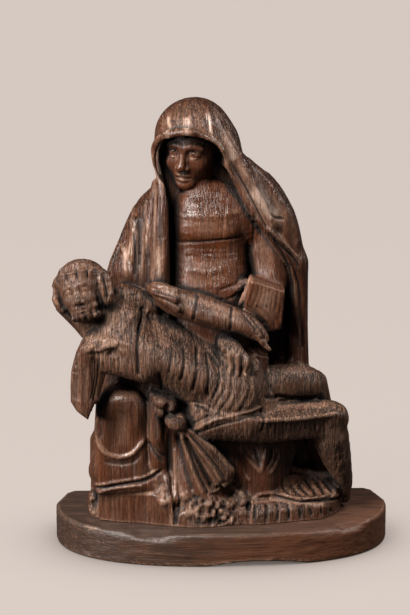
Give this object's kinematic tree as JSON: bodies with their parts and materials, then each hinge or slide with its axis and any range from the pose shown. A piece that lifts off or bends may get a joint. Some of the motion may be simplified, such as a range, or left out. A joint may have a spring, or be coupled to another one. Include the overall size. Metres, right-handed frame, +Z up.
{
  "type": "carved wooden pieta statue",
  "caption": "Carved wooden group of a seated hooded woman holding a dead man across her lap, weathered and broken in places, standing on a plank base with a bowed front.",
  "frame": {"origin": "middle of the whole part seen from above, at the underside of the base board", "axes": "+Z up; the viewer of the front looks along +Y, with +X to the viewer's right"},
  "size_m": [0.356, 0.168, 0.4764],
  "materials": {
    "board_wood": "old waxed plank, grey-brown on top and a warmer brown along the front, long level grain",
    "figure_wood": "dark red-brown carved wood with upright grain, worn to a soft sheen, dusty in the hollows, with drying cracks and eroded places"
  },
  "bodies": {
    "root": {"base_board": "board_wood", "pieta_figure": "figure_wood"}
  },
  "joints": []
}
